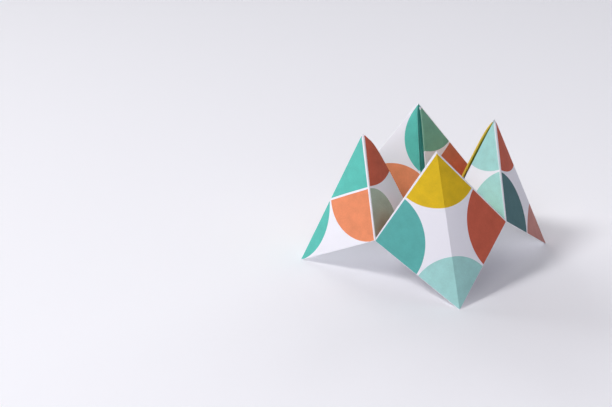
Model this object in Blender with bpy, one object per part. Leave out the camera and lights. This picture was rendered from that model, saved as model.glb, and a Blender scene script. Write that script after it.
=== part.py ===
"""Paper fortune teller: one printed square sheet, folded twice to the middle and pushed open.

The sheet is drawn flat, with its creases as narrow strips and its print as fields of ink.
Every point of the drawing is then carried to its place in the folded shape, the folded
place of both skins of the paper, and the four feet are trimmed flat where they stand.

Axes: +Z up, the flap that faces the viewer is at -Y, and the feet stand on Z = 0.
"""

import math

import bpy
import bmesh
import numpy as np
from mathutils import Vector
from mathutils.geometry import delaunay_2d_cdt

# Lengths in metres
MM = 0.001
SHEET_SIDE = 200.0 * MM
PAPER_THICKNESS = 0.2 * MM
LAYER_GAP = 0.1 * MM
SLIT_GAP = 0.3 * MM
RIDGE_GAP_AT_PEAK = 0.5 * MM
RIDGE_GAP_AT_CENTRE = 2.4 * MM
WHITE_LINE = 1.0 * MM
TIP_SIZE = 0.9 * MM
TIP_INSET = 0.02 * MM
TIP_NICK = 0.2 * MM
FOOT_TRIM = 0.3 * MM
TRIM_OVERRUN = 2.0 * MM

# Angles of the four valley folds, seen from the middle of the sheet, in degrees.
# The shape is the same on both sides of the plane through the front and back valleys.
FRONT_VALLEY_RISE = 23.9
BACK_VALLEY_RISE = 28.9
SIDE_VALLEY_RISE = 30.6
SIDE_VALLEY_SWING = -2.7
FACING_TURN = -45.0

# Facets of the rounded parts
FOLD_STEPS = 4
ARC_STEPS = 6

# A quarter of the sheet's side: the panels' legs
SQUARE = SHEET_SIDE / 4
CELLS_PER_SQUARE = 2
CELL = SQUARE / CELLS_PER_SQUARE

# The rounded folds: layers lie one pitch apart, and a fold's strip is as wide as its arc is long
PITCH = PAPER_THICKNESS + LAYER_GAP
TIGHT_RADIUS = PITCH / 2
WRAP_RADIUS = PITCH * 3 / 2
TIGHT_HALF = math.pi * TIGHT_RADIUS / 2
FREE_HALF = TIGHT_HALF * math.sqrt(2)

INKS = {
    "ink_teal": (0.105, 0.515, 0.420),
    "ink_aqua": (0.340, 0.620, 0.575),
    "ink_orange": (0.810, 0.260, 0.110),
    "ink_rust": (0.540, 0.105, 0.055),
    "ink_yellow": (0.700, 0.500, 0.020),
    "ink_deep": (0.080, 0.195, 0.210),
    "ink_sage": (0.190, 0.380, 0.280),
}
PAPER_WHITE = (0.86, 0.86, 0.89)

# The print: in each cell of the sheet stands one quarter round, centred on a corner of its cell.
# A quadrant's cells are counted outwards from the sheet's middle, first along u and then along v,
# and each row gives the ink and the round's centre in cells, from the middle.
FRONT_ROUNDS = {
    (0, 0): ("ink_orange", (0, 0)), (1, 0): ("ink_teal", (2, 0)),
    (0, 1): ("ink_yellow", (0, 2)), (1, 1): ("ink_rust", (2, 2)),
    (2, 0): ("ink_aqua", (2, 1)), (3, 0): ("ink_orange", (4, 0)),
    (2, 1): ("ink_teal", (2, 2)), (3, 1): ("ink_yellow", (4, 2)),
    (0, 2): ("ink_rust", (1, 2)), (1, 2): ("ink_aqua", (2, 2)),
    (0, 3): ("ink_yellow", (0, 4)), (1, 3): ("ink_orange", (2, 4)),
    (2, 2): ("ink_yellow", (2, 2)), (3, 2): ("ink_rust", (4, 2)),
    (2, 3): ("ink_teal", (2, 4)), (3, 3): ("ink_aqua", (4, 4)),
}
LEFT_ROUNDS = {
    (0, 0): ("ink_aqua", (0, 0)), (1, 0): ("ink_yellow", (1, 1)),
    (0, 1): ("ink_teal", (0, 2)), (1, 1): ("ink_orange", (2, 2)),
    (2, 0): ("ink_rust", (3, 1)), (3, 0): ("ink_teal", (4, 0)),
    (2, 1): ("ink_yellow", (2, 2)), (3, 1): ("ink_aqua", (4, 2)),
    (0, 2): ("ink_teal", (1, 2)), (1, 2): ("ink_rust", (2, 2)),
    (0, 3): ("ink_orange", (0, 4)), (1, 3): ("ink_aqua", (2, 4)),
    (2, 2): ("ink_teal", (2, 3)), (3, 2): ("ink_yellow", (4, 3)),
    (2, 3): ("ink_orange", (2, 3)), (3, 3): ("ink_teal", (4, 3)),
}
RIGHT_ROUNDS = {
    (0, 0): ("ink_yellow", (0, 0)), (1, 0): ("ink_rust", (2, 1)),
    (0, 1): ("ink_orange", (1, 2)), (1, 1): ("ink_teal", (2, 2)),
    (2, 0): ("ink_orange", (2, 1)), (3, 0): ("ink_rust", (4, 0)),
    (2, 1): ("ink_aqua", (2, 2)), (3, 1): ("ink_aqua", (4, 2)),
    (0, 2): ("ink_teal", (0, 3)), (1, 2): ("ink_yellow", (2, 3)),
    (0, 3): ("ink_aqua", (0, 4)), (1, 3): ("ink_orange", (2, 4)),
    (2, 2): ("ink_rust", (2, 2)), (3, 2): ("ink_deep", (4, 2)),
    (2, 3): ("ink_yellow", (2, 4)), (3, 3): ("ink_rust", (4, 4)),
}
BACK_ROUNDS = {
    (0, 0): ("ink_rust", (0, 0)), (1, 0): ("ink_aqua", (2, 0)),
    (0, 1): ("ink_yellow", (0, 1)), (1, 1): ("ink_teal", (1, 2)),
    (2, 0): ("ink_orange", (3, 0)), (3, 0): ("ink_orange", (4, 1)),
    (2, 1): ("ink_teal", (2, 1)), (3, 1): ("ink_orange", (4, 1)),
    (0, 2): ("ink_rust", (0, 3)), (1, 2): ("ink_sage", (2, 2)),
    (0, 3): ("ink_yellow", (1, 4)), (1, 3): ("ink_rust", (2, 3)),
    (2, 2): ("ink_aqua", (2, 2)), (3, 2): ("ink_orange", (4, 3)),
    (2, 3): ("ink_yellow", (3, 4)), (3, 3): ("ink_teal", (4, 4)),
}
# Quadrants of the sheet by the signs of u and v
ROUNDS = {(1, -1): FRONT_ROUNDS, (-1, -1): LEFT_ROUNDS, (1, 1): RIGHT_ROUNDS, (-1, 1): BACK_ROUNDS}


def direction(azimuth, rise):
    """Unit vector from its azimuth and rise in degrees."""
    a, r = math.radians(azimuth), math.radians(rise)
    return np.array([math.cos(r) * math.cos(a), math.cos(r) * math.sin(a), math.sin(r)])


def unit(vector):
    return vector / np.linalg.norm(vector)


def peak_direction(first, second):
    """The upper direction that makes 45 degrees with both valley directions."""
    in_plane = (first + second) * math.cos(math.pi / 4) / (1 + first @ second)
    upright = unit(np.cross(first, second))
    height = math.sqrt(1 - in_plane @ in_plane)
    return max(in_plane + height * upright, in_plane - height * upright, key=lambda d: d[2])


def turned(point, angle, axis):
    """Point turned about the X or Z axis through the origin."""
    c, s = math.cos(angle), math.sin(angle)
    turn = {"X": [[1, 0, 0], [0, c, -s], [0, s, c]], "Z": [[c, -s, 0], [s, c, 0], [0, 0, 1]]}[axis]
    return np.array(turn) @ point


def skeleton():
    """Corners of the folded shape as if the paper had no thickness.

    Valleys are named by their direction on the sheet, (1, 0) being +u. Peaks and feet are
    named by their quadrant. A foot is the middle's mirror image in the plane through its
    peak and the two valley ends beside it.
    """
    ways = {
        (0, -1): direction(-90, FRONT_VALLEY_RISE),
        (0, 1): direction(90, BACK_VALLEY_RISE),
        (1, 0): direction(SIDE_VALLEY_SWING, SIDE_VALLEY_RISE),
        (-1, 0): direction(180 - SIDE_VALLEY_SWING, SIDE_VALLEY_RISE),
    }
    points = {"middle": np.zeros(3)}
    for way, towards in ways.items():
        points["valley", way] = SQUARE * towards
    for quadrant in ROUNDS:
        ends = [points["valley", (quadrant[0], 0)], points["valley", (0, quadrant[1])]]
        peak = SQUARE * math.sqrt(2) * peak_direction(unit(ends[0]), unit(ends[1]))
        across = unit(np.cross(ends[0] - peak, ends[1] - peak))
        points["peak", quadrant] = peak
        points["foot", quadrant] = 2 * (peak @ across) * across
    front, back = points["foot", (1, -1)], points["foot", (1, 1)]
    level = -math.atan2(back[2] - front[2], back[1] - front[1])
    points = {name: turned(point, level, "X") for name, point in points.items()}
    points = {name: turned(point, math.radians(FACING_TURN), "Z") for name, point in points.items()}
    feet = np.array([points["foot", quadrant] for quadrant in ROUNDS])
    lowest = np.array([0, 0, feet[:, 2].min() + FOOT_TRIM])
    spread = (feet.min(axis=0) + feet.max(axis=0)) / 2 * [1, 1, 0]
    return {name: point - lowest - spread for name, point in points.items()}


class HalfUnit:
    """One peak's side towards one valley: four panels and the three rounded folds between them.

    Places are told by a along the fold from the valley end to the peak, b from that fold
    towards the sheet's middle, and h up from the innermost panel into the bowl.
    """

    def __init__(self, points, quadrant, way):
        self.middle, self.valley = points["middle"], points["valley", way]
        self.peak, self.foot = points["peak", quadrant], points["foot", quadrant]
        other = tuple(-q if w == 0 else q for q, w in zip(quadrant, way))
        self.along = unit(self.peak - self.valley)
        self.inwards = unit(self.middle - self.valley)
        up = np.cross(self.along, self.inwards)
        self.up = unit(up if up @ (self.foot - self.valley) < 0 else -up)
        valley_angle = math.acos(self.along @ unit(points["peak", other] - self.valley)) / 2
        self.valley_slope = 1 / math.tan(valley_angle)
        self.wrap_turn = math.pi - math.acos(self.inwards @ unit(self.foot - self.valley))
        self.wrap_half = WRAP_RADIUS * self.wrap_turn / 2
        self.slit_half = SLIT_GAP / 2 / math.sin(valley_angle)
        self.edge_start = self.cut_back(0)
        # The plane of symmetry through the unit's peak, foot and middle
        self.mirror = unit(np.cross(self.peak - self.middle, self.foot - self.middle))

    def place(self, a, b, h):
        return self.valley + self.along * a + self.inwards * b + self.up * h

    def to_mirror(self, b, h):
        """The a at which a line along the fold, at this b and h, meets the unit's mirror plane."""
        start = self.place(0, b, h)
        return ((self.middle - start) @ self.mirror) / (self.along @ self.mirror)

    def cut_back(self, share):
        """Where the cut edge starts along the wide turn, clear of the flap beside it."""
        outer_skin = WRAP_RADIUS + PAPER_THICKNESS / 2
        height = TIGHT_RADIUS + outer_skin * math.cos(share * self.wrap_turn)
        return max(height, 0) * self.valley_slope + self.slit_half

    def flap_tip(self, start):
        """The b at which a flap that starts at this a meets the line of the free folds."""
        return (SQUARE - RIDGE_GAP_AT_CENTRE) * (1 - start / (SQUARE - RIDGE_GAP_AT_PEAK))

    def inner_flap(self, x, y, h):
        """a and b on the flap's layer beneath, from the tight fold to its free fold.

        A skin starts further from the valley the higher it lies, and every skin ends on the
        same line along the free fold.
        """
        peak_end, start = SQUARE - RIDGE_GAP_AT_PEAK, h * self.valley_slope
        run = SQUARE - TIGHT_HALF - FREE_HALF
        a = start + (peak_end - start) * y / run
        return np.array([a, self.flap_tip(start) * (x - SQUARE - TIGHT_HALF) / run])

    def outer_flap(self, x, y):
        """a and b on the flap's layer on top; x and y are mirrored in the free fold."""
        run = SQUARE - FREE_HALF - self.wrap_half
        a = self.edge_start + y * (SQUARE - RIDGE_GAP_AT_PEAK - self.edge_start) / run
        return np.array([a, self.flap_tip(self.edge_start) * (x - SQUARE - self.wrap_half) / run])

    def base_panel(self, x, y, skin):
        """The innermost panel, between the middle, the valley end and the peak."""
        run = SQUARE - TIGHT_HALF
        middle = self.middle + np.array([0, 0, skin * self.middle_lift])
        valley_end = self.place(skin * self.valley_slope, 0, skin)
        peak_end = self.place(self.to_mirror(0, skin), 0, skin)
        return middle + (valley_end - middle) * x / run + (peak_end - valley_end) * y / run

    def tight_fold(self, x, y, skin):
        """The half turn from the innermost panel back over itself."""
        share = (x - SQUARE + TIGHT_HALF) / (2 * TIGHT_HALF)
        radius, angle = TIGHT_RADIUS - skin, share * math.pi
        h = TIGHT_RADIUS - radius * math.cos(angle)
        first = (self.to_mirror(0, skin) - skin * self.valley_slope) * y / (SQUARE - TIGHT_HALF)
        back = PITCH - skin
        last = self.inner_flap(SQUARE + TIGHT_HALF, y, back)[0] - back * self.valley_slope
        a = h * self.valley_slope + (1 - share) * first + share * last
        return self.place(a, -radius * math.sin(angle), h)

    def free_fold(self, x, y, skin):
        """The half turn along the ridge, from the flap's layer beneath to its layer on top."""
        slip = (x + y - 2 * SQUARE + FREE_HALF) / 2
        share = slip / FREE_HALF
        radius, angle = TIGHT_RADIUS + skin, share * math.pi
        under = self.inner_flap(x - slip, y - slip, PITCH - skin)
        over = self.outer_flap(x - slip, y - slip)
        outwards = unit(np.array([SQUARE - RIDGE_GAP_AT_CENTRE, SQUARE - RIDGE_GAP_AT_PEAK]))
        a, b = (1 - share) * under + share * over + outwards * radius * math.sin(angle)
        return self.place(a, b, PITCH * 3 / 2 - radius * math.cos(angle))

    def wrap_fold(self, x, share, skin):
        """The wide turn over the tight fold, from the flap to the outer panel."""
        radius, angle = WRAP_RADIUS + skin, share * self.wrap_turn
        b, h = -radius * math.sin(angle), TIGHT_RADIUS + radius * math.cos(angle)
        start = self.cut_back(share)
        first = self.outer_flap(SQUARE + self.wrap_half, 2 * SQUARE - x)[0] - self.edge_start
        last = (self.to_mirror(b, h) - start) * (2 * SQUARE - x) / (SQUARE - self.wrap_half)
        return self.place(start + (1 - share) * first + share * last, b, h)

    def outer_panel(self, x, y, skin):
        """The panel between the wrapped fold, the foot and the unit's mirror plane."""
        run = SQUARE - self.wrap_half
        side, depth = (x - SQUARE - self.wrap_half) / run, (y - SQUARE - self.wrap_half) / run
        top = self.wrap_fold(SQUARE + self.wrap_half, 1, skin)
        end = self.wrap_fold(2 * SQUARE, 1, skin)
        fall = self.foot - self.wrap_fold(SQUARE + self.wrap_half, 1, 0)
        return top + (end - top) * (side - depth) + fall * depth

    def folded(self, x, y, skin):
        """Place of a point of the flat sheet, x >= y >= 0 from the middle, x towards the valley.

        skin is how far the point lies from the paper's middle layer, towards the printed side.
        """
        beyond = x + y - 2 * SQUARE
        if x <= SQUARE - TIGHT_HALF:
            return self.base_panel(x, y, skin)
        if x < SQUARE + TIGHT_HALF and y < SQUARE:
            return self.tight_fold(x, y, skin)
        if beyond <= -FREE_HALF:
            return self.place(*self.inner_flap(x, y, PITCH - skin), PITCH - skin)
        if beyond < FREE_HALF:
            return self.free_fold(x, y, skin)
        if y <= SQUARE - self.wrap_half:
            return self.place(*self.outer_flap(2 * SQUARE - y, 2 * SQUARE - x), PITCH * 2 + skin)
        if y < SQUARE + self.wrap_half:
            return self.wrap_fold(x, (y - SQUARE + self.wrap_half) / (2 * self.wrap_half), skin)
        return self.outer_panel(x, y, skin)

    def strips(self):
        """Creases as flat lines in x and y, for the drawing."""
        far = 2 * SQUARE
        lines = []
        for step in range(FOLD_STEPS + 1):
            share = 2 * step / FOLD_STEPS - 1
            tight, wrap = SQUARE + share * TIGHT_HALF, SQUARE + share * self.wrap_half
            lines.append(((tight, 0), (tight, SQUARE)))
            lines.append(((SQUARE, wrap), (far, wrap)))
            slide = share * FREE_HALF
            if slide > 0:
                lines.append(((SQUARE + slide, SQUARE), (far, slide)))
            else:
                lines.append(((SQUARE, SQUARE + slide), (far + slide, 0)))
        return lines


def half_units(points):
    units = {}
    for quadrant in ROUNDS:
        units[quadrant, 0] = HalfUnit(points, quadrant, (quadrant[0], 0))
        units[quadrant, 1] = HalfUnit(points, quadrant, (0, quadrant[1]))
    lift = len(units) / sum(half.up[2] for half in units.values())
    for half in units.values():
        half.middle_lift = lift
    return units


class FlatDrawing:
    """Points, crease lines and outlined fields on the flat sheet."""

    def __init__(self):
        self.points, self.edges, self.fields, self.names = [], [], [], []

    def line(self, start, end):
        first = len(self.points)
        self.points += [Vector(start), Vector(end)]
        self.edges.append((first, first + 1))

    def field(self, name, outline):
        """A named area; its outline is stored anticlockwise."""
        ends = outline[1:] + outline[:1]
        doubled_area = sum(a[0] * b[1] - a[1] * b[0] for a, b in zip(outline, ends))
        outline = outline if doubled_area > 0 else outline[::-1]
        first = len(self.points)
        self.points += [Vector(point) for point in outline]
        self.fields.append(list(range(first, len(self.points))))
        self.names.append(name)

    def triangles(self):
        """The drawing as triangles, each with the set of names of the fields it lies in."""
        inside_fields, least_distance = 1, SHEET_SIDE * 1e-7
        points, _, faces, _, _, sources = delaunay_2d_cdt(
            self.points, self.edges, self.fields, inside_fields, least_distance
        )
        return points, [(face, {self.names[k] for k in source}) for face, source in zip(faces, sources)]


def quarter_round(cell, centre):
    """Outline of a quarter round in its cell, held off the cell's sides by half a white line."""
    margin = WHITE_LINE / 2
    radius = CELL - WHITE_LINE
    steps = np.linspace(0, math.pi / 2, ARC_STEPS + 1)
    inward = [1 if centre[k] == cell[k] else -1 for k in (0, 1)]
    u, v = [CELL * centre[k] + margin * inward[k] for k in (0, 1)]
    across, along = inward[0] * radius, inward[1] * radius
    return [(u, v)] + [(u + across * math.cos(s), v + along * math.sin(s)) for s in steps]


def flat_sheet(units):
    """The sheet before folding, with its print, creases, peak holes and nicked flap tips."""
    drawing = FlatDrawing()
    half = SHEET_SIDE / 2
    drawing.field("sheet", [(-half, -half), (half, -half), (half, half), (-half, half)])
    for (sign_u, sign_v), rounds in ROUNDS.items():
        for cell, (ink, centre) in rounds.items():
            drawing.field(ink, [(sign_u * u, sign_v * v) for u, v in quarter_round(cell, centre)])
        near, far = SQUARE - TIP_SIZE, SQUARE + TIP_SIZE
        hole = [(near, near), (far, near), (far, far), (near, far)]
        drawing.field("hole", [(sign_u * u, sign_v * v) for u, v in hole])
        drawing.line((0, 0), (sign_u * near, sign_v * near))
        drawing.line((sign_u * far, sign_v * far), (sign_u * half, sign_v * half))
        for side in (0, 1):
            for start, end in units[(sign_u, sign_v), side].strips():
                ends = [point if side == 0 else point[::-1] for point in (start, end)]
                drawing.line(*[(sign_u * u, sign_v * v) for u, v in ends])
    nick = half - FREE_HALF
    for sign in (1, -1):
        outline = [(sign * nick, 0), (sign * half, -TIP_NICK), (sign * half, TIP_NICK)]
        drawing.field("hole", outline)
        drawing.field("hole", [(v, u) for u, v in outline])
        drawing.line((0, 0), (sign * nick, 0))
        drawing.line((0, 0), (0, sign * nick))
    return drawing.triangles()


def material(name, colour, roughness=0.85):
    made = bpy.data.materials.new(name)
    made.use_nodes = True
    shader = made.node_tree.nodes["Principled BSDF"]
    shader.inputs["Base Color"].default_value = (*colour, 1)
    shader.inputs["Roughness"].default_value = roughness
    shader.inputs["Metallic"].default_value = 0
    return made


def mesh_object(name, mesh):
    made = bpy.data.objects.new(name, mesh)
    bpy.context.scene.collection.objects.link(made)
    return made


def folded_place(units, point, skin):
    u, v = point
    quadrant = (1 if u >= 0 else -1, 1 if v >= 0 else -1)
    side = 0 if abs(u) >= abs(v) else 1
    x, y = sorted((abs(u), abs(v)), reverse=True)
    return units[quadrant, side].folded(x, y, skin)


def folded_sheet(units):
    """The printed sheet folded: a printed skin, a plain skin and the cut edges between them."""
    points, faces = flat_sheet(units)
    kept = [(face, names) for face, names in faces if "sheet" in names and "hole" not in names]
    used = sorted({k for face, _ in kept for k in face})
    index = {old: new for new, old in enumerate(used)}
    count = len(used)
    skins = (PAPER_THICKNESS / 2, -PAPER_THICKNESS / 2)
    places = [folded_place(units, points[k], skin) for skin in skins for k in used]
    slots = list(INKS) + ["paper"]
    printed = [[index[k] for k in face] for face, _ in kept]
    inks = [(names - {"sheet"} or {"paper"}).pop() for _, names in kept]
    plain = [[k + count for k in reversed(face)] for face in printed]
    ways = {(face[k - 1], face[k]) for face in printed for k in range(3)}
    rims = [[b, a, a + count, b + count] for a, b in ways if (b, a) not in ways]
    mesh = bpy.data.meshes.new("folded_sheet")
    mesh.from_pydata(places, [], printed + plain + sorted(rims))
    for name, colour in INKS.items():
        mesh.materials.append(material(name, colour, roughness=0.6))
    mesh.materials.append(material("paper", PAPER_WHITE))
    for polygon in mesh.polygons:
        ink = inks[polygon.index] if polygon.index < len(inks) else "paper"
        polygon.material_index = slots.index(ink)
    return mesh_object("folded_sheet", mesh)


def tip_points(half_unit):
    """Points just under the outer skin round one side of a peak, down to the tip's depth."""
    depth = 2 * TIP_SIZE
    skin = PAPER_THICKNESS / 2 - TIP_INSET
    radius = WRAP_RADIUS + skin
    places = []
    for share in (0, 0.5, 1):
        angle = share * half_unit.wrap_turn
        b, h = -radius * math.sin(angle), TIGHT_RADIUS + radius * math.cos(angle)
        places.append(half_unit.place(SQUARE - depth, b, h))
        places.append(half_unit.place(half_unit.to_mirror(b, h), b, h))
    top = PITCH * 2 + skin
    places.append(half_unit.place(half_unit.to_mirror(depth, top), depth, top))
    foot_way = unit(half_unit.foot - places[5])
    places.append(places[5] + foot_way * depth * math.sqrt(2))
    return places


def peak_tips(units):
    """Solid tips where all the layers are pressed together, one at each peak."""
    bm = bmesh.new()
    for quadrant in ROUNDS:
        corners = [bm.verts.new(p) for side in (0, 1) for p in tip_points(units[quadrant, side])]
        hull = bmesh.ops.convex_hull(bm, input=corners)
        spare = set(hull["geom_interior"]) | set(hull["geom_unused"])
        bmesh.ops.delete(bm, geom=list(spare), context="VERTS")
    bmesh.ops.recalc_face_normals(bm, faces=bm.faces)
    mesh = bpy.data.meshes.new("peak_tips")
    bm.to_mesh(mesh)
    bm.free()
    return mesh_object("peak_tips", mesh)


def floor_block():
    """What lies below the surface that the feet stand on."""
    bm = bmesh.new()
    bmesh.ops.create_cube(bm, size=SHEET_SIDE)
    bmesh.ops.scale(bm, vec=(1, 1, TRIM_OVERRUN / SHEET_SIDE), verts=bm.verts)
    bmesh.ops.translate(bm, vec=(0, 0, -TRIM_OVERRUN / 2), verts=bm.verts)
    mesh = bpy.data.meshes.new("floor_block")
    bm.to_mesh(mesh)
    bm.free()
    return mesh_object("floor_block", mesh)


def combine(target, other, operation):
    boolean = target.modifiers.new(other.name, "BOOLEAN")
    boolean.operation = operation
    boolean.solver = "EXACT"
    boolean.object = other
    other.hide_render = True
    other.display_type = "WIRE"


for old in list(bpy.data.objects):
    bpy.data.objects.remove(old, do_unlink=True)

halves = half_units(skeleton())
sheet = folded_sheet(halves)
combine(sheet, floor_block(), "DIFFERENCE")
combine(sheet, peak_tips(halves), "UNION")
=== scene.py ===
"""Paper fortune teller: a printed square sheet, folded and pushed open, on a pale studio floor."""

import math

import bpy
import numpy as np
from mathutils import Matrix


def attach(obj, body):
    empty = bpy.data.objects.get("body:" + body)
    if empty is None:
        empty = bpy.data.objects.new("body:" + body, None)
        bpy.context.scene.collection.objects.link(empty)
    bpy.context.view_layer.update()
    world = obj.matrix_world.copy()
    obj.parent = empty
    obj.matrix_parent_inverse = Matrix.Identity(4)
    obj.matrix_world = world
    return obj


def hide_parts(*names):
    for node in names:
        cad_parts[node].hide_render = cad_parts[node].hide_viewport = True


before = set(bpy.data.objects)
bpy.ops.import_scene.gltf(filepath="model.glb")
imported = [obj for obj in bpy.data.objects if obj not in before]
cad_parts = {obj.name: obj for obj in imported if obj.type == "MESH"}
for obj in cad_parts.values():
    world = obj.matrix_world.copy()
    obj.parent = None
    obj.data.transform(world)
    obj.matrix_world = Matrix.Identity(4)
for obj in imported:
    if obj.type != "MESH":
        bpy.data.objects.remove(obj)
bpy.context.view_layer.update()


# Camera: a standing viewer's look down on the toy from 0.6 m through a long lens, from a little
# to its left and rolled by about a degree. The toy stands to the right of the picture's middle.
def place_camera():
    """Puts the camera back from a point on the toy's axis, moved sideways and up in its picture.

    back points from the toy to the camera, by azimuth and elevation. level and upright lie in
    the picture plane, and the roll turns them into the picture's right and up.
    """
    azimuth, elevation, roll = math.radians(-6.936), math.radians(23.137), math.radians(-1.222)
    distance, sideways, raised, aim_height = 0.60750, -0.05766, -0.00249, 0.030
    focal_pixels, picture_width, film_width = 1267.0, 612, 36.0
    nearest, farthest = 0.05, 20
    back = np.array([math.sin(azimuth) * math.cos(elevation),
                     -math.cos(azimuth) * math.cos(elevation), math.sin(elevation)])
    level = np.array([math.cos(azimuth), math.sin(azimuth), 0])
    upright = np.cross(back, level)
    right = math.cos(roll) * level + math.sin(roll) * upright
    up = math.cos(roll) * upright - math.sin(roll) * level
    place = sideways * level + raised * upright + back * distance + np.array([0, 0, aim_height])
    data = bpy.data.cameras.new("camera")
    data.sensor_width = film_width
    data.lens = focal_pixels * film_width / picture_width
    data.clip_start, data.clip_end = nearest, farthest
    camera = bpy.data.objects.new("camera", data)
    turn = np.column_stack([right, up, back, place])
    camera.matrix_world = Matrix([list(row) for row in turn] + [[0, 0, 0, 1]])
    bpy.context.scene.collection.objects.link(camera)
    bpy.context.scene.camera = camera


place_camera()


# Floor: one wide sheet of pressed board, nearly white and matt. It gives the eye soft shadows
# and no gloss, and its grain of about a millimetre barely shows.
def linear(code):
    """Linear red, green, blue and alpha of an sRGB hex colour."""
    shares = [int(code[k:k + 2], 16) / 255 for k in (1, 3, 5)]
    return [s / 12.92 if s <= 0.04045 else ((s + 0.055) / 1.055) ** 2.4 for s in shares] + [1.0]


def add(tree, kind, inputs=None, **settings):
    """A node with its settings. Each input is a value, a socket, or a node's first output."""
    node = tree.nodes.new(kind)
    for name, value in settings.items():
        setattr(node, name, value)
    for key, value in (inputs or {}).items():
        if isinstance(value, bpy.types.Node):
            value = value.outputs[0]
        if isinstance(value, bpy.types.NodeSocket):
            tree.links.new(value, node.inputs[key])
        else:
            node.inputs[key].default_value = value
    return node


def fresh_material(name):
    """A new material and its emptied node tree, with the output node."""
    made = bpy.data.materials.new(name)
    made.use_nodes = True
    made.node_tree.nodes.clear()
    return made, made.node_tree, add(made.node_tree, "ShaderNodeOutputMaterial")


def lay_floor():
    """A level square of one face, with its middle under the toy."""
    half_width = 3.0
    mesh = bpy.data.meshes.new("floor")
    corners = np.array([[-1, -1, 0], [1, -1, 0], [1, 1, 0], [-1, 1, 0]]) * half_width
    mesh.from_pydata(corners.tolist(), [], [(0, 1, 2, 3)])
    floor = bpy.data.objects.new("floor", mesh)
    bpy.context.scene.collection.objects.link(floor)
    board, tree, output = fresh_material("Matt board, smooth")
    place = add(tree, "ShaderNodeTexCoord").outputs["Object"]
    grain = add(tree, "ShaderNodeTexNoise", {"Vector": place, "Scale": 900.0, "Detail": 3.0})
    bump = add(tree, "ShaderNodeBump", {"Height": grain, "Strength": 0.04, "Distance": 0.0002})
    shader = add(tree, "ShaderNodeBsdfPrincipled", {
        "Base Color": linear("#fafbff"), "Roughness": 0.85, "IOR": 1.5, "Normal": bump})
    tree.links.new(shader.outputs[0], output.inputs["Surface"])
    mesh.materials.append(board)


lay_floor()


# Light: a window on the left, three wide soft panels in front and on the right, and a pale wall
# behind the toy. The wall's low light comes in from four sides and fills the floor under it.
def lamp(name, kind, place, power, colour, **shape):
    """A lamp that looks from its place at the toy's middle, its side held level."""
    toy_height = 0.03
    data = bpy.data.lights.new(name, kind)
    data.energy, data.color = power, linear(colour)[:3]
    for setting, value in shape.items():
        setattr(data, setting, value)
    light = bpy.data.objects.new(name, data)
    back = np.array(place) - [0, 0, toy_height]
    back = back / np.linalg.norm(back)
    side = np.cross([0, 0, 1], back)
    side = side / np.linalg.norm(side)
    turn = np.column_stack([side, np.cross(back, side), back, place])
    light.matrix_world = Matrix([list(row) for row in turn] + [[0, 0, 0, 1]])
    light.visible_camera = False
    bpy.context.scene.collection.objects.link(light)


def light_room():
    """Lamps by place in metres and power in watts, the wall's by azimuth and strength."""
    lamp("window", "AREA", (-1.26, -0.25, 1.53), 18.4, "#fcf9fa", shape="DISK", size=0.55)
    lamp("front left panel", "AREA", (-0.80, -1.39, 1.38), 8.4, "#fdfaff", shape="DISK", size=1.2)
    lamp("front panel", "AREA", (0.0, -1.97, 0.35), 9.2, "#f6f2ff", shape="DISK", size=1.6)
    lamp("right panel", "AREA", (1.61, -0.28, 1.15), 3.4, "#f6f2ff", shape="DISK", size=1.6)
    elevation, distance, toy_height, spread = math.radians(14), 4, 0.03, math.radians(30)
    wall = ((140, 1.2), (108, 1.52), (75, 0.7), (45, 0.62))
    for number, (azimuth, strength) in enumerate(wall):
        a = math.radians(azimuth)
        place = (distance * math.cos(elevation) * math.cos(a),
                 distance * math.cos(elevation) * math.sin(a),
                 toy_height + distance * math.sin(elevation))
        lamp(f"pale wall behind {number + 1}", "SUN", place, strength, "#fcfcff", angle=spread)
    world = bpy.data.worlds.new("pale room")
    world.use_nodes = True
    room = world.node_tree.nodes["Background"].inputs
    room["Color"].default_value = linear("#e6e6f4")
    room["Strength"].default_value = 0.04
    bpy.context.scene.world = world
    bpy.context.scene.view_settings.view_transform = "Standard"


light_room()


# Folded sheet: craft paper, 200 mm square, printed on one side with quarter rounds, its corners
# folded to the middle, turned over, folded to the middle again and pushed open from beneath.
class Fold:
    """Sizes of the fold, in metres and degrees, and how finely its surfaces are divided.

    square is a quarter of the sheet's side, and pitch is one paper and the air to the next. The
    free folds face each other over a slit and stop short of the peak and of the middle. The
    corners that stand on the floor lose foot_drop. The print's cell is a little over an eighth
    of the sheet. The rises are those of the four valleys, side_swing turns the two at the sides,
    and facing turns the whole, so that one point looks at the camera. A rounded fold's half is
    half the width that it takes up on the flat sheet. swells tells how far a layer bulges.
    """

    square = 0.050
    thickness = 0.0002
    pitch = 0.0003
    slit_gap = 0.0003
    gap_at_peak, gap_at_middle = 0.0005, 0.0024
    foot_drop = 0.0003
    print_cell = 0.02515
    front_rise, back_rise, side_rise, side_swing, facing = 23.9, 28.9, 30.6, -2.7, -45.0
    tight_radius, wrap_radius = pitch / 2, pitch * 1.5
    tight_half = math.pi * tight_radius / 2
    free_half = tight_half * math.sqrt(2)
    swells = {"inner": 0.00015, "outer": 0.00035, "cover": 0.0006}
    steps = 32
    rows = 6


def unit(vector):
    """The same direction at length one."""
    return vector / np.linalg.norm(vector)


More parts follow.
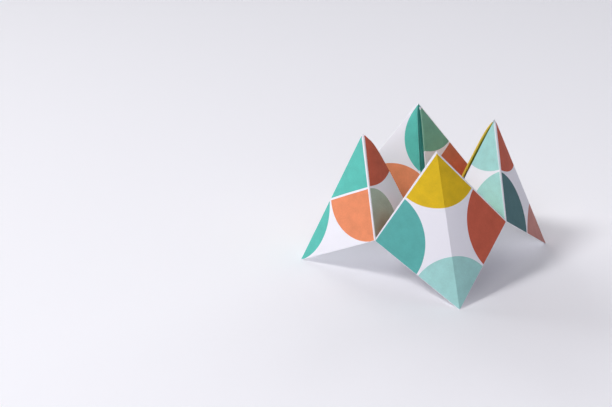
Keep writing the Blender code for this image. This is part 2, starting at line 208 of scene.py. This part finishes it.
def skeleton():
    """Corners of the fold without thickness, by kind and by way or quadrant of the sheet.

    A peak direction makes 45 degrees with both valleys beside it. A foot is the middle mirrored
    in the plane through its peak and the two valley ends. The whole is levelled on its feet.
    """
    def towards(azimuth, rise):
        a, r = math.radians(azimuth), math.radians(rise)
        return np.array([math.cos(r) * math.cos(a), math.cos(r) * math.sin(a), math.sin(r)])

    ways = {(0, -1): towards(-90, Fold.front_rise), (0, 1): towards(90, Fold.back_rise),
            (1, 0): towards(Fold.side_swing, Fold.side_rise),
            (-1, 0): towards(180 - Fold.side_swing, Fold.side_rise)}
    quadrants = [(1, -1), (-1, -1), (1, 1), (-1, 1)]
    points = {("middle",): np.zeros(3)}
    points.update({("valley", way): Fold.square * line for way, line in ways.items()})
    for quadrant in quadrants:
        first, second = ways[quadrant[0], 0], ways[0, quadrant[1]]
        in_plane = (first + second) * math.cos(math.pi / 4) / (1 + first @ second)
        height = math.sqrt(1 - in_plane @ in_plane)
        upright = unit(np.cross(first, second))
        rising = max(in_plane + height * upright, in_plane - height * upright, key=lambda d: d[2])
        peak = Fold.square * math.sqrt(2) * rising
        across = unit(np.cross(Fold.square * first - peak, Fold.square * second - peak))
        points["peak", quadrant] = peak
        points["foot", quadrant] = 2 * (peak @ across) * across
    front, back = points["foot", (1, -1)], points["foot", (1, 1)]
    level = -math.atan2(back[2] - front[2], back[1] - front[1])
    turn = Matrix.Rotation(math.radians(Fold.facing), 3, "Z") @ Matrix.Rotation(level, 3, "X")
    points = {name: np.array(turn) @ point for name, point in points.items()}
    feet = np.array([points["foot", quadrant] for quadrant in quadrants])
    centre = (feet.min(axis=0) + feet.max(axis=0)) / 2
    shift = np.array([*centre[:2], feet[:, 2].min() + Fold.foot_drop])
    return {name: point - shift for name, point in points.items()}


class HalfUnit:
    """One peak's side towards one valley. All of its surfaces are told by three numbers.

    a runs along the upper fold from the valley end to the peak, b from that fold towards the
    sheet's middle, and h up from the innermost panel into the bowl.
    """

    def __init__(self, points, quadrant, side):
        self.way = (quadrant[0], 0) if side == 0 else (0, quadrant[1])
        beside = (quadrant[0], -quadrant[1]) if side == 0 else (-quadrant[0], quadrant[1])
        self.quadrant, self.side = quadrant, side
        self.middle, self.valley = points[("middle",)], points["valley", self.way]
        self.peak, self.foot = points["peak", quadrant], points["foot", quadrant]
        self.along, self.inwards = unit(self.peak - self.valley), unit(self.middle - self.valley)
        up = np.cross(self.along, self.inwards)
        self.up = unit(up if up @ (self.foot - self.valley) < 0 else -up)
        half_angle = math.acos(self.along @ unit(points["peak", beside] - self.valley)) / 2
        self.slope = 1 / math.tan(half_angle)
        self.turn = math.pi - math.acos(self.inwards @ unit(self.foot - self.valley))
        self.wrap_half = Fold.wrap_radius * self.turn / 2
        self.slit_half = Fold.slit_gap / 2 / math.sin(half_angle)
        self.mirror = unit(np.cross(self.peak - self.middle, self.foot - self.middle))

    def place(self, a, b, h):
        """The valley end, plus a, b and h times their own directions."""
        a, b, h = np.broadcast_arrays(a, b, h)
        return (self.valley + a[..., None] * self.along + b[..., None] * self.inwards
                + h[..., None] * self.up)

    def to_mirror(self, b, h):
        """a where a line along the upper fold, at this b and h, meets the unit's mirror plane."""
        return (self.middle - self.place(0.0, b, h)) @ self.mirror / (self.along @ self.mirror)

    def cut_back(self, share):
        """a where the cut edge starts along the wide turn, clear of the flap beside it."""
        outer = (Fold.wrap_radius + Fold.thickness / 2) * np.cos(share * self.turn)
        return np.maximum(Fold.tight_radius + outer, 0) * self.slope + self.slit_half

    def flap_tip(self, start):
        """b where the free fold, a line from the peak to the middle, is down to a = start."""
        return (Fold.square - Fold.gap_at_middle) * (1 - start / (Fold.square - Fold.gap_at_peak))

    def apex(self, skin):
        """The one point of the skin where every fold of the peak comes together."""
        radius, angle = Fold.wrap_radius + skin, self.turn / 2
        b, h = -radius * math.sin(angle), Fold.tight_radius + radius * math.cos(angle)
        return self.place(self.to_mirror(b, h), b, h)


def panel_grid():
    """Steps along a and towards the third corner, of every lattice point of a panel."""
    i, j = np.meshgrid(np.arange(Fold.steps + 1), np.arange(Fold.steps + 1), indexing="ij")
    inside = i + j <= Fold.steps
    return i[inside], j[inside]


def panel_faces(first):
    """Quads of a panel's lattice, and a row of triangles along its third side."""
    i, j = panel_grid()
    index = np.full((Fold.steps + 2, Fold.steps + 2), -1)
    index[i, j] = first + np.arange(len(i))
    quads = i + j <= Fold.steps - 2
    a, b = i[quads], j[quads]
    inner = np.stack([index[a, b], index[a + 1, b], index[a + 1, b + 1], index[a, b + 1]], axis=1)
    ends = i + j == Fold.steps - 1
    a, b = i[ends], j[ends]
    last = np.stack([index[a, b], index[a + 1, b], index[a, b + 1]], axis=1)
    return inner.tolist() + last.tolist()


def strip_faces(first):
    """Quads of a rounded fold, numbered row by row."""
    index = first + np.arange((Fold.rows + 1) * (Fold.steps + 1)).reshape(Fold.rows + 1, -1)
    quads = np.stack([index[:-1, :-1], index[:-1, 1:], index[1:, 1:], index[1:, :-1]], axis=-1)
    return quads.reshape(-1, 4).tolist()


def flat_places(half):
    """Where each block of the half unit's points lies on the flat sheet, x towards the valley.

    A panel is a lattice over its three corners. A rounded fold is a strip between the edges of
    the two panels that it joins.
    """
    one, two = Fold.square, 2 * Fold.square
    i, j = panel_grid()
    top = (one, one)
    corners = {
        "base": [(one - Fold.tight_half, 0), top, (0, 0)],
        "inner": [(one + Fold.tight_half, 0), top, (two - Fold.free_half, 0)],
        "outer": [(two, one - half.wrap_half), top, (two, Fold.free_half)],
        "cover": [(two, one + half.wrap_half), top, (two, two)],
    }
    places = {}
    for name, corner in corners.items():
        first, second, third = np.array(corner, float)
        along, across = i[:, None] / Fold.steps, j[:, None] / Fold.steps
        places[name] = first + (second - first) * along + (third - first) * across
    share = np.linspace(0, 1, Fold.rows + 1)[:, None, None]
    upper, third_side = j == 0, i + j == Fold.steps
    strips = {"tight": ("base", "inner", upper), "free": ("inner", "outer", third_side),
              "wrap": ("outer", "cover", upper)}
    for name, (start, end, edge) in strips.items():
        rows = places[start][edge] * (1 - share) + places[end][edge] * share
        places[name] = rows.reshape(-1, 2)
    return places


def folded_places(half, skin, lift, spring, puff, closing, middle_lift):
    """The same blocks folded. skin is the distance from the paper's middle to the printed side.

    The base is the flat triangle from the valley end to the peak and the middle. The flap's two
    layers run from the cut edge to the slit, each at its own height. A rounded fold is an arc
    round its axis, which runs along the upper fold or, for the free one, along the slit. The
    cover is the triangle from the end of the wide arc to the peak and the foot. A layer's swell
    is 27 times the product of its three corner shares, which is one in its middle.

    lift is how far the flap's corner at the middle rises off the innermost panel, falling off
    with the square of the distance to the upper fold. spring is how far its free edge stands
    off: the rise grows with the power 1.5 of the share of the way from the cut edge, climbs
    steeply next to the peak and fades with the square of the share of the way to the middle.
    puff is how much further apart the flap's two layers stand at that edge, in the same shape.
    closing is how far the risen edge leans over the ridge, as a share of its rise.
    """
    edge_power, climb = 1.5, 0.06
    i, j = panel_grid()
    along, across = i / Fold.steps, j / Fold.steps
    rest = np.maximum(1 - across, 1e-9)
    upper, third_side = j == 0, i + j == Fold.steps
    peak_end, middle_end = Fold.square - Fold.gap_at_peak, Fold.square - Fold.gap_at_middle
    bulge = 27 * along * across * (1 - along - across)
    fading = (1 - np.exp(-across / climb)) * (1 - across ** 2)
    shape = fading * np.clip(along / rest, 0, 1) ** edge_power
    bow, apart = spring * shape, puff * shape
    places = {}

    valley_end = half.place(skin * half.slope, 0.0, skin)
    top = half.place(half.to_mirror(0.0, skin), 0.0, skin)
    middle = half.middle + np.array([0, 0, skin * middle_lift])
    places["base"] = (valley_end + (top - valley_end) * along[:, None]
                      + (middle - valley_end) * across[:, None])

    flaps = {}
    inner_height, outer_height = Fold.pitch - skin, 2 * Fold.pitch + skin
    for name, height, cut_height, gap, more in (
            ("inner", inner_height, inner_height, 0.0, 0.0),
            ("outer", outer_height, 2 * Fold.pitch + Fold.thickness / 2, half.slit_half, apart)):
        start = (cut_height + lift * across ** 2) * half.slope + gap
        b = half.flap_tip((cut_height + lift) * half.slope + gap) * across
        a = start + (peak_end * (1 - b / middle_end) - start) * along / rest + closing * bow
        h = height + lift * across ** 2 + Fold.swells[name] * bulge + bow + more
        flaps[name] = (a, b)
        places[name] = half.place(a, b, h)

    share = np.linspace(0, 1, Fold.rows + 1)[:, None]
    step = np.arange(Fold.steps + 1) / Fold.steps
    back = Fold.pitch - skin
    radius, angle = Fold.tight_radius - skin, share * math.pi
    h = Fold.tight_radius - radius * np.cos(angle)
    first = (half.to_mirror(0.0, skin) - skin * half.slope) * step
    last = (peak_end - back * half.slope) * step
    places["tight"] = half.place(h * half.slope + (1 - share) * first + share * last,
                                 -radius * np.sin(angle), h).reshape(-1, 3)

    radius = Fold.tight_radius + apart[third_side] / 2 + skin
    outwards = unit(np.array([middle_end, peak_end]))
    a, b = [(1 - share) * flaps["inner"][k][third_side] + share * flaps["outer"][k][third_side]
            + outwards[k] * radius * np.sin(angle) for k in (0, 1)]
    risen = (lift * across ** 2 + bow + apart / 2)[third_side]
    h = Fold.pitch * 1.5 - radius * np.cos(angle) + risen
    places["free"] = half.place(a, b, h).reshape(-1, 3)

    radius, angle = Fold.wrap_radius + skin, share * half.turn
    b, h = -radius * np.sin(angle), Fold.tight_radius + radius * np.cos(angle)
    start = half.cut_back(share)
    first = (peak_end - half.cut_back(0.0)) * step
    last = (half.to_mirror(b, h) - start) * step
    wrap = half.place(start + (1 - share) * first + share * last, b, h)
    places["wrap"] = wrap.reshape(-1, 3)

    radius = Fold.wrap_radius
    b, h = -radius * math.sin(half.turn), Fold.tight_radius + radius * math.cos(half.turn)
    end, top = wrap[-1, 0], wrap[-1, -1]
    foot = top + half.foot - half.place(half.to_mirror(b, h), b, h)
    facing = unit(np.cross(top - end, foot - end))
    facing = facing if facing @ (half.foot - half.middle) > 0 else -facing
    places["cover"] = (end + (top - end) * along[:, None] + (foot - end) * across[:, None]
                       + facing * Fold.swells["cover"] * bulge[:, None])

    for name in ("base", "inner", "outer", "cover"):
        places[name][along == 1] = half.apex(skin)
    for name in ("tight", "free", "wrap"):
        places[name].reshape(Fold.rows + 1, -1, 3)[:, -1] = half.apex(skin)
    return places


def folded_mesh(name):
    """Both skins of the folded sheet and the cut edge between them, welded where blocks meet.

    Two points are one where they lie on one place of the flat sheet, to a tenth of a micrometre.
    The printed skin's faces run round to the left on the flat sheet, and the plain skin's to the
    right. lifts goes by valley. springs goes by point and side, each with its spring, puff and
    closing: the flaps of the front point lie on their walls, those of the back point stand off,
    and one flap does so on the left and on the right point.
    """
    lying, weld_places = (0.0003, 0, 0.65), 1e7
    lifts = {(0, -1): 0.0003, (0, 1): 0.0004, (1, 0): 0.0002, (-1, 0): 0.0003}
    springs = {(1, -1): (lying, lying),
               (-1, -1): (lying, (0.0020, 0.0004, 0.65)),
               (1, 1): (lying, (0.0008, 0.0007, 0.65)),
               (-1, 1): ((0.0020, 0.0001, 0.1), (0.0018, 0.0002, 0.65))}
    points = skeleton()
    halves = [HalfUnit(points, (u, v), side) for u in (1, -1) for v in (1, -1) for side in (0, 1)]
    middle_lift = len(halves) / sum(half.up[2] for half in halves)
    flat, printed, plain, faces, count = [], [], [], [], 0
    for half in halves:
        sheet = flat_places(half)
        softness = (lifts[half.way], *springs[half.quadrant][half.side], middle_lift)
        skins = [folded_places(half, skin, *softness)
                 for skin in (Fold.thickness / 2, -Fold.thickness / 2)]
        for block in ("base", "tight", "inner", "free", "outer", "wrap", "cover"):
            x, y = sheet[block].T
            u, v = (x, y) if half.side == 0 else (y, x)
            flat.append(np.stack([u * half.quadrant[0], v * half.quadrant[1]], axis=1))
            printed.append(skins[0][block])
            plain.append(skins[1][block])
            is_strip = block in ("tight", "free", "wrap")
            faces += strip_faces(count) if is_strip else panel_faces(count)
            count += len(x)
    flat, printed, plain = np.concatenate(flat), np.concatenate(printed), np.concatenate(plain)
    printed[:, 2], plain[:, 2] = np.maximum(printed[:, 2], 0), np.maximum(plain[:, 2], 0)
    _, kept, welded = np.unique(np.round(flat * weld_places).astype(int), axis=0,
                                return_index=True, return_inverse=True)
    flat, printed, plain, welded = flat[kept], printed[kept], plain[kept], welded.reshape(-1)

    def turned(ring):
        """The ring to the left round its face: twice its area on the flat sheet is above zero."""
        u, v = flat[ring].T
        return ring if np.sum(u * np.roll(v, -1) - np.roll(u, -1) * v) > 0 else ring[::-1]

    rings = [list(dict.fromkeys(welded[face].tolist())) for face in faces]
    faces = [turned(ring) for ring in rings if len(ring) > 2]
    total = len(flat)
    ways = {(ring[k - 1], ring[k]) for ring in faces for k in range(len(ring))}
    rim = sorted((a, b) for a, b in ways if (b, a) not in ways)
    cut = [[b, a, a + total, b + total] for a, b in rim]
    under = [[k + total for k in reversed(ring)] for ring in faces]
    mesh = bpy.data.meshes.new(name)
    mesh.from_pydata(np.concatenate([printed, plain]).tolist(), [], faces + under + cut)
    return mesh, flat, len(faces)


def print_rows():
    """The print, by quadrant of the sheet: for each cell, its ink and its quarter round's centre.

    Cells and centres are counted from the sheet's middle, along u and then along v.
    """
    front = {
        (0, 0): ("orange", (0, 0)), (1, 0): ("teal", (2, 0)), (0, 1): ("yellow", (0, 2)),
        (1, 1): ("rust", (2, 2)), (2, 0): ("aqua", (2, 1)), (3, 0): ("orange", (4, 0)),
        (2, 1): ("teal", (2, 2)), (3, 1): ("yellow", (4, 2)), (0, 2): ("rust", (1, 2)),
        (1, 2): ("aqua", (2, 2)), (0, 3): ("yellow", (0, 4)), (1, 3): ("orange", (2, 4)),
        (2, 2): ("yellow", (2, 2)), (3, 2): ("rust", (4, 2)), (2, 3): ("sea", (2, 4)),
        (3, 3): ("aqua", (4, 4)),
    }
    left = {
        (0, 0): ("aqua", (0, 0)), (1, 0): ("yellow", (1, 1)), (0, 1): ("teal", (0, 2)),
        (1, 1): ("orange", (2, 2)), (2, 0): ("rust", (3, 1)), (3, 0): ("teal", (4, 0)),
        (2, 1): ("yellow", (2, 2)), (3, 1): ("aqua", (4, 2)), (0, 2): ("teal", (1, 2)),
        # The field at (1, 3), on the wall by the valley end, is aqua greyed by painted warm light
        # let through the orange cell behind it.
        (1, 2): ("rust", (2, 2)), (0, 3): ("orange", (0, 4)), (1, 3): ("aqua_with_painted_warm_light", (2, 4)),
        (2, 2): ("teal", (2, 3)), (3, 2): ("yellow", (4, 3)), (2, 3): ("orange", (2, 3)),
        (3, 3): ("teal", (4, 3)),
    }
    right = {
        (0, 0): ("yellow", (0, 0)), (1, 0): ("rust", (2, 1)), (0, 1): ("orange", (1, 2)),
        (1, 1): ("teal", (2, 2)), (2, 0): ("orange", (2, 1)), (3, 0): ("rust", (4, 0)),
        (2, 1): ("aqua", (2, 2)), (3, 1): ("aqua", (4, 2)), (0, 2): ("teal", (0, 3)),
        (1, 2): ("yellow", (2, 3)), (0, 3): ("aqua", (0, 4)), (1, 3): ("orange", (2, 4)),
        (2, 2): ("rust", (2, 2)), (3, 2): ("deep", (4, 2)), (2, 3): ("yellow", (2, 4)),
        (3, 3): ("rose", (4, 4)),
    }
    back = {
        (0, 0): ("rust", (0, 0)), (1, 0): ("aqua", (2, 0)), (0, 1): ("yellow", (0, 1)),
        (1, 1): ("teal", (1, 2)), (2, 0): ("orange", (3, 0)), (3, 0): ("orange", (4, 1)),
        (2, 1): ("teal", (2, 1)), (3, 1): ("orange", (4, 1)), (0, 2): ("rust", (0, 3)),
        # The field at (1, 2), on the shaded wall by the peak, is aqua with painted yellow bounce
        # light.
        (1, 2): ("aqua_with_painted_yellow_bounce", (2, 2)), (0, 3): ("yellow", (1, 4)), (1, 3): ("clay", (2, 3)),
        (2, 2): ("aqua", (2, 2)), (3, 2): ("orange", (4, 3)), (2, 3): ("yellow", (3, 4)),
        (3, 3): ("teal", (4, 4)),
    }
    return {(1, -1): front, (-1, -1): left, (1, 1): right, (-1, 1): back}


def lay_print(mesh, flat, printed_faces):
    """Writes what the materials read, at every face corner.

    sheet is the place on the flat sheet, in millimetres from its middle. round is the distance
    to the quarter round's centre along u and v. border is the same, but far where that side is
    the sheet's own edge, since the ink runs up to the cut. A face belongs to the cell that its
    own middle lies in, whole cells out from the sheet's middle.

    The print slipped by slips on one flap of the back point, and the half round on that point's
    other flap has no white line between its two cells.
    """
    # One green is aqua with painted yellow bounce light, on a shaded wall of the back point.
    # One greyed green is aqua with painted warm light, let through the orange print behind the
    # left point's wall.
    inks = {"teal": "#5fc8ba", "aqua": "#aadfda", "orange": "#f19467", "rust": "#d0654c",
            "yellow": "#e8c21c", "deep": "#4f7a7e", "aqua_with_painted_yellow_bounce": "#80bca2", "aqua_with_painted_warm_light": "#b4c8b5",
            "rose": "#cf9086", "sea": "#5fb6b0", "clay": "#d37d5a"}
    slips = {((-1, 1), 1): (0.0, 1.2)}
    whole_half_round = ((-1, 1), (4, 1))
    square, cell, cells_out, far = Fold.square * 1000, Fold.print_cell * 1000, 4, 50.0
    corner_points = np.empty(len(mesh.loops), int)
    mesh.loops.foreach_get("vertex_index", corner_points)
    sheet = flat[corner_points % len(flat)] * 1000
    sizes = np.empty(len(mesh.polygons), int)
    mesh.polygons.foreach_get("loop_total", sizes)
    starts = np.concatenate([[0], np.cumsum(sizes)[:-1]])
    centres = np.add.reduceat(sheet, starts) / sizes[:, None]
    printed = np.arange(len(sizes)) < printed_faces
    quadrants, out = np.where(centres >= 0, 1, -1), np.abs(centres)
    flap = printed & (out.max(axis=1) > square) & (out.min(axis=1) < square)
    slip = np.zeros((len(sizes), 2))
    for (quadrant, side), way in slips.items():
        beside = (out[:, 1] > out[:, 0]) == (side == 1)
        slip[flap & beside & (quadrants == quadrant).all(axis=1)] = way
    cells = np.clip(np.abs(centres - slip) // cell, 0, cells_out - 1).astype(int)

    ink = np.tile(linear("#f8f8fe"), (len(sizes), 1))
    round_middle, inward = np.zeros((len(sizes), 2)), np.ones((len(sizes), 2))
    edge = np.full((len(sizes), 2), far)
    for quadrant, rows in print_rows().items():
        in_quadrant = printed & (quadrants == quadrant).all(axis=1)
        for where, (name, middle) in rows.items():
            here = in_quadrant & (cells == where).all(axis=1)
            whole = (quadrant, middle) == whole_half_round
            ink[here] = linear(inks[name])
            round_middle[here] = np.array(middle) * cell * quadrant
            inward[here] = [q if m == w else -q for q, m, w in zip(quadrant, middle, where)]
            edge[here] = [far if m == cells_out or whole else 0.0 for m in middle]

    face = np.repeat(np.arange(len(sizes)), sizes)
    offset = (sheet - slip[face] - round_middle[face]) * inward[face]
    for name, values in (("sheet", sheet), ("round", offset), ("border", offset + edge[face])):
        layer = mesh.attributes.new(name, "FLOAT2", "CORNER")
        layer.data.foreach_set("vector", values.astype(np.float32).ravel())
    layer = mesh.attributes.new("ink", "FLOAT_COLOR", "CORNER")
    layer.data.foreach_set("color", ink[face].astype(np.float32).ravel())
    mesh.polygons.foreach_set("material_index", np.where(printed, 0, 1).astype(np.int32))


def crease_nodes(tree):
    """The place on the sheet and its distances in millimetres to the lines of the fold.

    With x the larger and y the smaller of the distances from the sheet's middle, the upper
    folds are x = 50 and y = 50, the free ones x + y = 100, the other creases x = y and y = 0,
    and the cut edge is x = 100. The distance to a sloping line is what its sum or difference is
    off by, times the root of a half. free is kept as the sum has it, without the root.
    """
    maths, square, diagonal = "ShaderNodeMath", Fold.square * 1000, math.sqrt(0.5)
    sheet = add(tree, "ShaderNodeAttribute", attribute_name="sheet").outputs["Vector"]
    parts = add(tree, "ShaderNodeSeparateXYZ", {0: sheet}).outputs
    u = add(tree, maths, {0: parts[0]}, operation="ABSOLUTE")
    v = add(tree, maths, {0: parts[1]}, operation="ABSOLUTE")
    x = add(tree, maths, {0: u, 1: v}, operation="MAXIMUM")
    y = add(tree, maths, {0: u, 1: v}, operation="MINIMUM")
    beside = []
    for line in (x, y):
        past = add(tree, maths, {0: line, 1: square}, operation="SUBTRACT")
        beside.append(add(tree, maths, {0: past}, operation="ABSOLUTE"))
    upper = add(tree, maths, {0: beside[0], 1: beside[1]}, operation="MINIMUM")
    both = add(tree, maths, {0: x, 1: y}, operation="ADD")
    across = add(tree, maths, {0: both, 1: 2 * square}, operation="SUBTRACT")
    free = add(tree, maths, {0: across}, operation="ABSOLUTE")
    apart = add(tree, maths, {0: x, 1: y}, operation="SUBTRACT")
    nearest = add(tree, maths, {0: upper, 1: y}, operation="MINIMUM")
    for line in (free, apart):
        sloping = add(tree, maths, {0: line, 1: diagonal}, operation="MULTIPLY")
        nearest = add(tree, maths, {0: nearest, 1: sloping}, operation="MINIMUM")
    from_cut = add(tree, maths, {0: 2 * square, 1: x}, operation="SUBTRACT")
    return {"sheet": sheet, "upper": upper, "free": free, "nearest": nearest, "cut": from_cut}


def paper_surface(tree, output, lines, colour, roughness, fibre):
    """The shader of either side: fibres and clouds of the pulp, and a raised line at each crease.

    Uncoated paper is matt and lets a tenth of the light through. A noise's scale is in features
    per millimetre: fibres lie a sixth of a millimetre apart, and the pulp's clouds are one
    millimetre wide. The bumps are up to 0.06, 0.3 and 0.1 mm high.
    """
    sheet, crease_width, through_share = lines["sheet"], 0.5, 0.10
    clouds = add(tree, "ShaderNodeTexNoise", {
        "Vector": sheet, "Scale": 0.9, "Detail": 5.0, "Roughness": 0.6})
    threads = add(tree, "ShaderNodeTexNoise", {
        "Vector": sheet, "Scale": 6.0, "Detail": 4.0, "Roughness": 0.7})
    fold = add(tree, "ShaderNodeMapRange", {
        "Value": lines["nearest"], "From Min": 0.0, "From Max": crease_width,
        "To Min": 1.0, "To Max": 0.0}, interpolation_type="SMOOTHSTEP")
    rough = add(tree, "ShaderNodeMapRange", {
        "Value": threads, "From Min": 0.3, "From Max": 0.7,
        "To Min": roughness - 0.06, "To Max": roughness + 0.05})
    pulp = add(tree, "ShaderNodeBump", {
        "Height": threads, "Strength": fibre, "Distance": 0.00006})
    wave = add(tree, "ShaderNodeBump", {
        "Height": clouds, "Strength": fibre, "Distance": 0.0003, "Normal": pulp})
    ridge = add(tree, "ShaderNodeBump", {
        "Height": fold, "Strength": 0.25, "Distance": 0.0001, "Normal": wave})
    shader = add(tree, "ShaderNodeBsdfPrincipled", {
        "Base Color": colour, "Roughness": rough, "Normal": ridge, "IOR": 1.5,
        "Specular IOR Level": 0.35})
    through = add(tree, "ShaderNodeBsdfTranslucent", {"Color": colour, "Normal": wave})
    both = add(tree, "ShaderNodeMixShader", {0: through_share, 1: shader, 2: through})
    tree.links.new(both.outputs[0], output.inputs["Surface"])


def printed_paper():
    """Ink on uncoated paper: flat fields with a soft mottle, worn white along folds and cuts.

    Ink lies where the round's centre is nearer than a cell less half a white line, where both
    borders of the cell are further than half a line, or less next to an upper fold, and where
    the cut edge is further than the bare rim. Its edge bleeds and blurs by a tenth of a
    millimetre. Wear takes it off along the upper folds and a little along the free ones, as far
    as a noise reaches. The mottle is specks of 0.8 mm and clouds of 5 mm.
    """
    made, tree, output = fresh_material("Craft paper, ink printed, folded")
    lines = crease_nodes(tree)
    maths, cell, line = "ShaderNodeMath", Fold.print_cell * 1000, 1.0
    bare_rim, bleeding, blur, wear = 0.12, 0.12, 0.05, 0.5
    offset = add(tree, "ShaderNodeAttribute", attribute_name="round").outputs["Vector"]
    border = add(tree, "ShaderNodeAttribute", attribute_name="border").outputs["Vector"]
    border = add(tree, "ShaderNodeSeparateXYZ", {0: border}).outputs
    ink = add(tree, "ShaderNodeAttribute", attribute_name="ink")
    bleed, chips, speck, broad = [
        add(tree, "ShaderNodeTexNoise", {
            "Vector": lines["sheet"], "Scale": scale, "Detail": detail, "Roughness": roughness})
        for scale, detail, roughness in (
            (4.0, 2.0, 0.5), (2.2, 6.0, 0.7), (1.2, 8.0, 0.75), (0.20, 3.0, 0.5))]

    length = add(tree, "ShaderNodeVectorMath", {0: offset}, operation="LENGTH").outputs["Value"]
    inside = add(tree, maths, {0: cell - line / 2, 1: length}, operation="SUBTRACT")
    held_off = add(tree, "ShaderNodeMapRange", {
        "Value": lines["upper"], "From Min": 0.8, "From Max": 1.6,
        "To Min": line * 0.3, "To Max": line / 2})
    border = add(tree, maths, {0: border[0], 1: border[1]}, operation="MINIMUM")
    border = add(tree, maths, {0: border, 1: held_off}, operation="SUBTRACT")
    rim = add(tree, maths, {0: lines["cut"], 1: bare_rim}, operation="SUBTRACT")
    for limit in (border, rim):
        inside = add(tree, maths, {0: inside, 1: limit}, operation="MINIMUM")
    bleed = add(tree, maths, {0: bleed, 1: 0.5}, operation="SUBTRACT")
    bleed = add(tree, maths, {0: bleed, 1: bleeding}, operation="MULTIPLY")
    inside = add(tree, maths, {0: inside, 1: bleed}, operation="ADD")
    field = add(tree, "ShaderNodeMapRange", {
        "Value": inside, "From Min": -blur, "From Max": blur}, interpolation_type="SMOOTHSTEP")

    reach = add(tree, maths, {0: chips, 1: wear}, operation="MULTIPLY")
    worn = []
    for crease, start, end, most in (("upper", -0.15, 0.05, 0.8), ("free", -0.3, 0.0, 0.06)):
        past = add(tree, maths, {0: lines[crease], 1: reach}, operation="SUBTRACT")
        worn.append(add(tree, "ShaderNodeMapRange", {
            "Value": past, "From Min": start, "From Max": end,
            "To Min": most, "To Max": 0.0}, interpolation_type="SMOOTHSTEP"))
    worn = add(tree, maths, {0: worn[0], 1: worn[1]}, operation="MAXIMUM")
    left = add(tree, maths, {0: 1.0, 1: worn}, operation="SUBTRACT")
    shown = add(tree, maths, {0: field, 1: left}, operation="MULTIPLY")

    least, speck_share, broad_share = 0.70, 0.30, 0.30
    speck = add(tree, maths, {0: speck, 1: speck_share}, operation="MULTIPLY")
    broad = add(tree, maths, {0: broad, 1: broad_share}, operation="MULTIPLY")
    density = add(tree, maths, {0: speck, 1: broad}, operation="ADD")
    density = add(tree, maths, {0: density, 1: least}, operation="ADD")
    toned = add(tree, "ShaderNodeVectorMath", {0: ink, "Scale": density}, operation="SCALE")
    colour = add(tree, "ShaderNodeMixRGB", {
        "Fac": shown, "Color1": linear("#f8f8fe"), "Color2": toned})
    paper_surface(tree, output, lines, colour, 0.78, 0.30)
    return made


def plain_paper():
    """The unprinted side and the cut edge: the same paper, bare, in clouds of 2 mm."""
    made, tree, output = fresh_material("Craft paper, plain, folded")
    lines = crease_nodes(tree)
    clouds = add(tree, "ShaderNodeTexNoise", {
        "Vector": lines["sheet"], "Scale": 0.5, "Detail": 6.0, "Roughness": 0.7})
    tone = add(tree, "ShaderNodeValToRGB", {"Fac": clouds})
    for stop, place, colour in zip(tone.color_ramp.elements, (0.3, 0.7), ("#f5f5fb", "#fafafe")):
        stop.position, stop.color = place, linear(colour)
    paper_surface(tree, output, lines, tone, 0.86, 0.35)
    return made


def folded_sheet():
    """The one piece: the folded mesh with its print and its two papers, sharp at its creases."""
    mesh, flat, printed_faces = folded_mesh("folded_paper")
    mesh.materials.append(printed_paper())
    mesh.materials.append(plain_paper())
    lay_print(mesh, flat, printed_faces)
    mesh.shade_smooth()
    mesh.set_sharp_from_angle(angle=math.radians(38))
    piece = bpy.data.objects.new("folded_paper", mesh)
    bpy.context.scene.collection.objects.link(piece)
    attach(piece, "root")
    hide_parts("folded_sheet")


folded_sheet()
